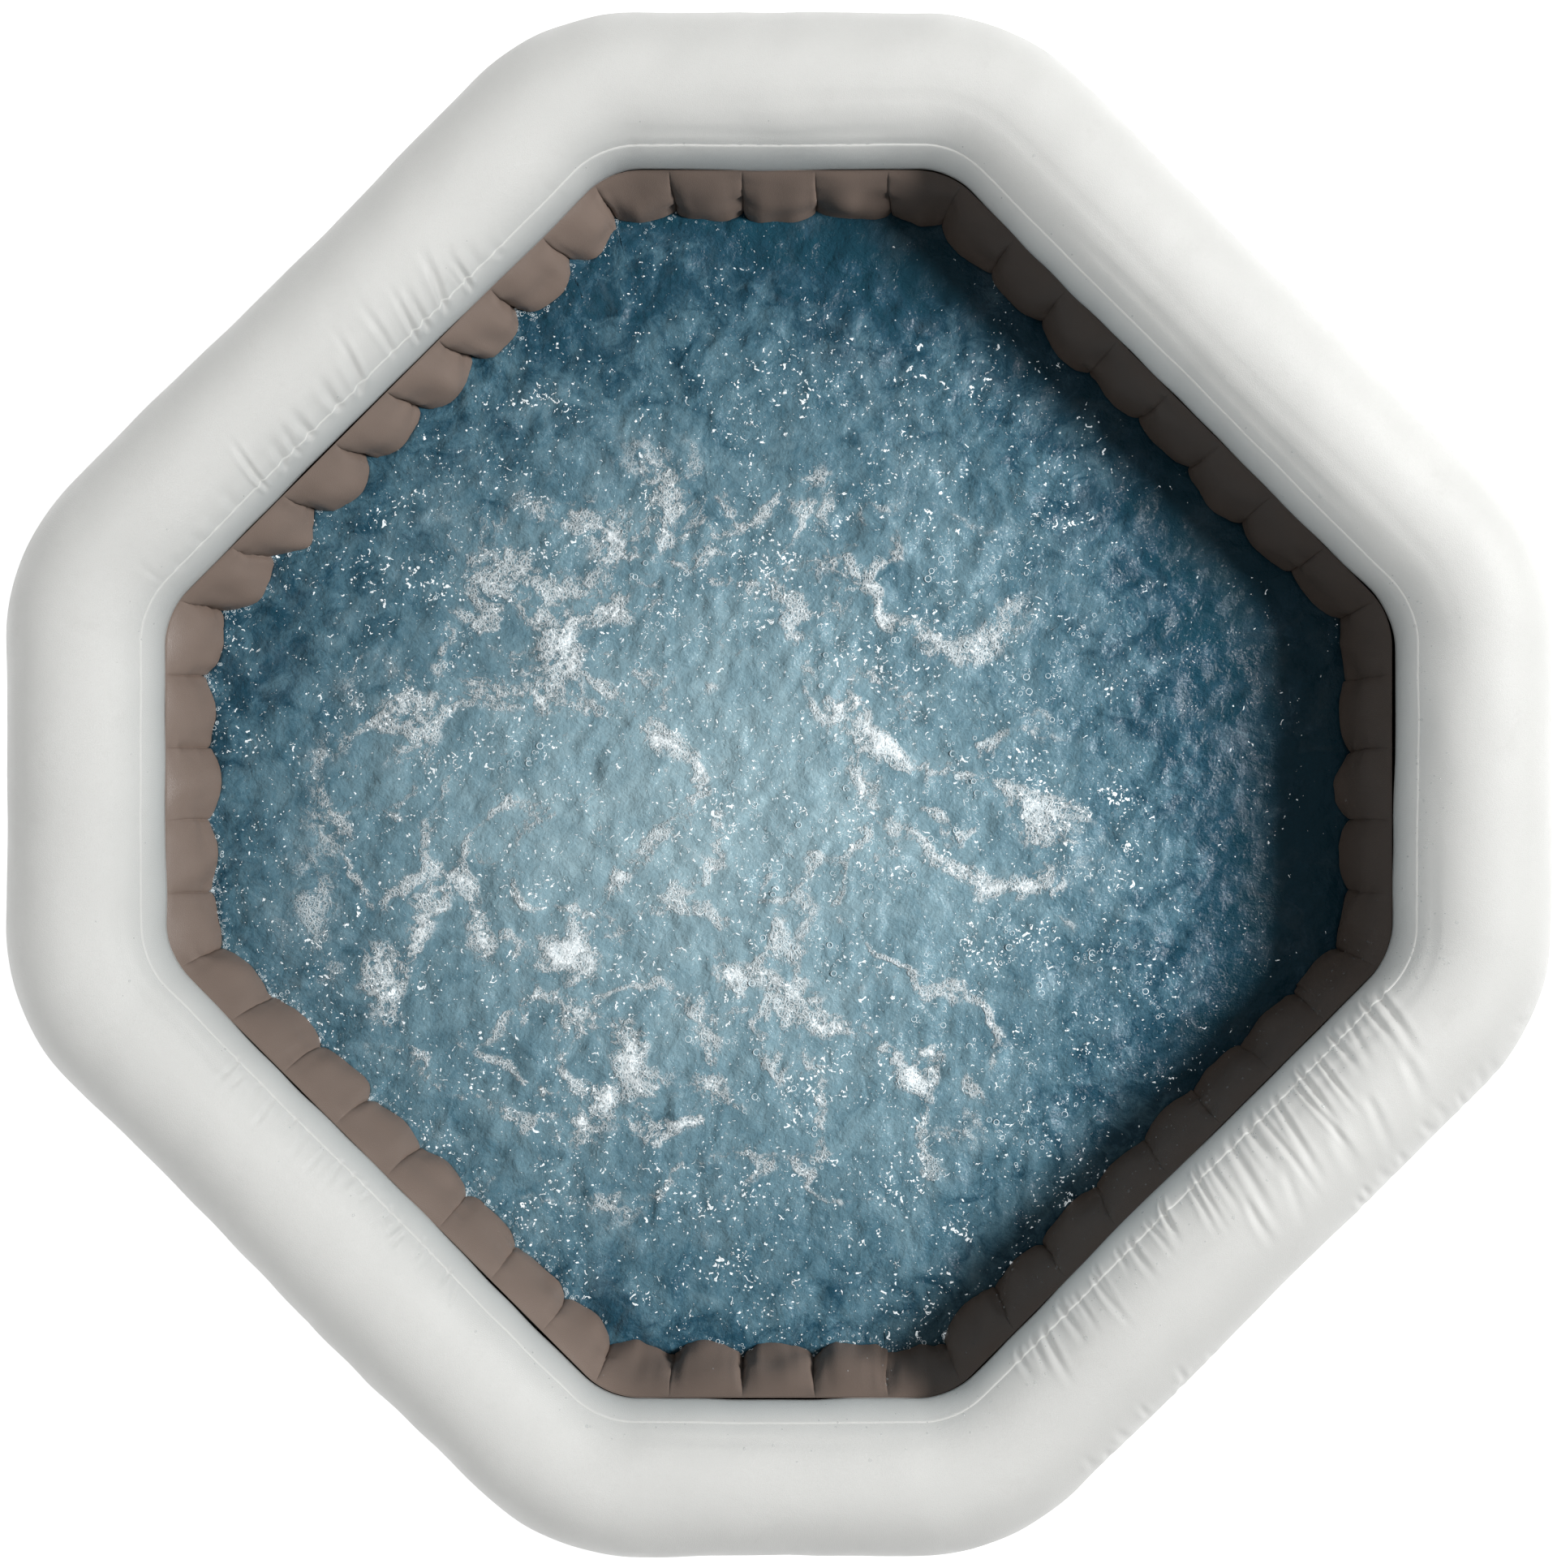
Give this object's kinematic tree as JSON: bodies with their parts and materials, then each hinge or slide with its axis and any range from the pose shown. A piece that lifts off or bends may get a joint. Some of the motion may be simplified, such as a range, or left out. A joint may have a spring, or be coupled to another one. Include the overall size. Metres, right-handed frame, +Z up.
{
  "type": "inflatable hot tub",
  "caption": "Octagonal inflatable hot tub with a pale tubular rim, pleated inner wall, welded floor, pump ports, drain, inflation valve, carrying handles and cover buckles.",
  "frame": {"origin": "centre of the tub on the ground, under the middle of the bounding box", "axes": "+Z up, out of the water; +X towards one short side, and +Y towards the next short side counter-clockwise seen from above"},
  "size_m": [2.01, 2.01, 0.71],
  "materials": {
    "rim_pvc": "satin, leather-grained",
    "liner_pvc": "satin, leather-grained",
    "wall_pvc": "satin",
    "base_pvc": "matt",
    "beam_pvc": "matt",
    "foam": "matt closed-cell foam",
    "fitting_plastic": "satin",
    "clip_plastic": "satin",
    "seal_rubber": "matt",
    "strap_fabric": "woven",
    "spring_steel": "bright"
  },
  "bodies": {
    "tub": {"base_sheet": "base_pvc", "insulation_pad": "foam", "floor_sheet": "liner_pvc", "outer_wall": "wall_pvc", "inner_wall": "liner_pvc", "top_rim": "rim_pvc", "rim_inner_seam": "rim_pvc", "rim_outer_seam": "rim_pvc", "base_band": "base_pvc", "wall_beams": "beam_pvc", "bubble_ring": "liner_pvc", "air_duct": "fitting_plastic", "air_spigot": "fitting_plastic", "air_gasket": "seal_rubber", "outlet_sleeve": "fitting_plastic", "outlet_gasket": "seal_rubber", "outlet_collar": "fitting_plastic", "outlet_lock_nut": "fitting_plastic", "inlet_sleeve": "fitting_plastic", "inlet_gasket": "seal_rubber", "inlet_collar": "fitting_plastic", "inlet_lock_nut": "fitting_plastic", "drain_sleeve": "fitting_plastic", "drain_gasket": "seal_rubber", "drain_collar": "fitting_plastic", "drain_lock_nut": "fitting_plastic", "valve_base": "fitting_plastic", "valve_insert": "fitting_plastic", "valve_spring": "spring_steel", "handle_patches": "wall_pvc", "buckle_patches": "wall_pvc"},
    "outlet_strainer_body": {"outlet_strainer": "fitting_plastic"},
    "inlet_strainer_body": {"inlet_strainer": "fitting_plastic"},
    "drain_cap_body": {"drain_cap": "fitting_plastic"},
    "drain_plug_body": {"drain_plug": "seal_rubber"},
    "air_flap_body": {"air_flap": "seal_rubber"},
    "valve_stem_body": {"valve_stem": "fitting_plastic", "valve_seal": "seal_rubber"},
    "valve_cap_body": {"valve_cap": "fitting_plastic"},
    "handle_1": {"handle_bail_1": "clip_plastic"},
    "handle_2": {"handle_bail_2": "clip_plastic"},
    "handle_3": {"handle_bail_3": "clip_plastic"},
    "handle_4": {"handle_bail_4": "clip_plastic"},
    "buckle_strap_1": {"buckle_webbing_1": "strap_fabric", "buckle_socket_1": "clip_plastic"},
    "buckle_strap_2": {"buckle_webbing_2": "strap_fabric", "buckle_socket_2": "clip_plastic"},
    "buckle_strap_3": {"buckle_webbing_3": "strap_fabric", "buckle_socket_3": "clip_plastic"},
    "buckle_strap_4": {"buckle_webbing_4": "strap_fabric", "buckle_socket_4": "clip_plastic"}
  },
  "joints": [
    {"name": "outlet_strainer_turn", "type": "hinge", "parent": "tub", "child": "outlet_strainer_body", "pos_m": [0.37497, -0.57964, 0.2], "axis": [0.7071, -0.7071, 0], "range_deg": [0, 270]},
    {"name": "inlet_strainer_turn", "type": "hinge", "parent": "tub", "child": "inlet_strainer_body", "pos_m": [0.57964, -0.37497, 0.2], "axis": [0.7071, -0.7071, 0], "range_deg": [0, 270]},
    {"name": "drain_cap_turn", "type": "hinge", "parent": "tub", "child": "drain_cap_body", "pos_m": [-0.6228, -0.69103, 0.062], "axis": [-0.7071, -0.7071, 0], "range_deg": [0, 360]},
    {"name": "drain_plug_pull", "type": "slide", "parent": "tub", "child": "drain_plug_body", "axis": [0.7071, 0.7071, 0], "range_m": [0, 0.03]},
    {"name": "air_flap_swing", "type": "hinge", "parent": "tub", "child": "air_flap_body", "pos_m": [0.60124, -0.66946, 0.4296], "axis": [0.7071, 0.7071, 0], "range_deg": [0, 60]},
    {"name": "valve_stem_push", "type": "slide", "parent": "tub", "child": "valve_stem_body", "axis": [-0.7071, 0.7071, 0], "range_m": [0, 0.005], "stiffness_N_per_m": 250, "springref_m": -0.002, "deforming": ["valve_spring"]},
    {"name": "valve_cap_flip", "type": "hinge", "parent": "tub", "child": "valve_cap_body", "pos_m": [0.67752, -0.6093, 0.461], "axis": [-0.7071, -0.7071, 0], "range_deg": [0, 150]},
    {"name": "handle_1_swing", "type": "hinge", "parent": "tub", "child": "handle_1", "pos_m": [0.64984, 0.64984, 0.292], "axis": [0.7071, -0.7071, 0], "range_deg": [0, 90]},
    {"name": "handle_2_swing", "type": "hinge", "parent": "tub", "child": "handle_2", "pos_m": [-0.64984, 0.64984, 0.292], "axis": [0.7071, 0.7071, 0], "range_deg": [0, 90]},
    {"name": "handle_3_swing", "type": "hinge", "parent": "tub", "child": "handle_3", "pos_m": [-0.64984, -0.64984, 0.292], "axis": [-0.7071, 0.7071, 0], "range_deg": [0, 90]},
    {"name": "handle_4_swing", "type": "hinge", "parent": "tub", "child": "handle_4", "pos_m": [0.64984, -0.64984, 0.292], "axis": [-0.7071, -0.7071, 0], "range_deg": [0, 90]},
    {"name": "buckle_1_swing", "type": "hinge", "parent": "tub", "child": "buckle_strap_1", "pos_m": [0.992, 0, 0.49783], "axis": [0, -1, 0], "range_deg": [0, 120]},
    {"name": "buckle_2_swing", "type": "hinge", "parent": "tub", "child": "buckle_strap_2", "pos_m": [0, 0.992, 0.49783], "axis": [1, 0, 0], "range_deg": [0, 120]},
    {"name": "buckle_3_swing", "type": "hinge", "parent": "tub", "child": "buckle_strap_3", "pos_m": [-0.992, 0, 0.49783], "axis": [0, 1, 0], "range_deg": [0, 120]},
    {"name": "buckle_4_swing", "type": "hinge", "parent": "tub", "child": "buckle_strap_4", "pos_m": [0, -0.992, 0.49783], "axis": [-1, 0, 0], "range_deg": [0, 120]}
  ]
}
